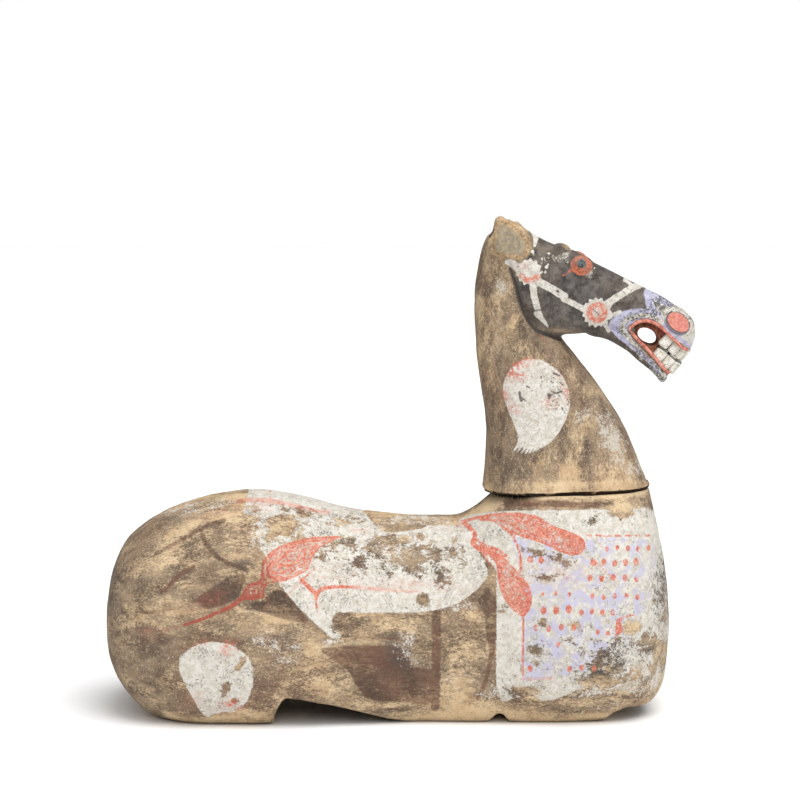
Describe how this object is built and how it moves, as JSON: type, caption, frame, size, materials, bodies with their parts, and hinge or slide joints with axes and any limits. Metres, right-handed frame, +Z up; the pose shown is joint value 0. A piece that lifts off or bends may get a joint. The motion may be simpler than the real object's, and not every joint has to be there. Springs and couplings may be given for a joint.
{
  "type": "recumbent pottery horse",
  "caption": "Painted hollow pottery horse without legs, lying on its belly and leg stubs, with a separate open-mouthed head and neck that rests on the shoulder.",
  "frame": {"origin": "on the floor under the middle of the whole horse", "axes": "+X towards the muzzle, +Y to the horse's left side, +Z up"},
  "size_m": [0.6579, 0.2492, 0.5568],
  "materials": {
    "trunk_clay": "matt fired clay with worn brown, white, coral and lavender paint",
    "head_clay": "matt fired clay with worn brown, grey, white and coral paint"
  },
  "bodies": {
    "root": {"trunk": "trunk_clay", "head_and_neck": "head_clay"}
  },
  "joints": []
}
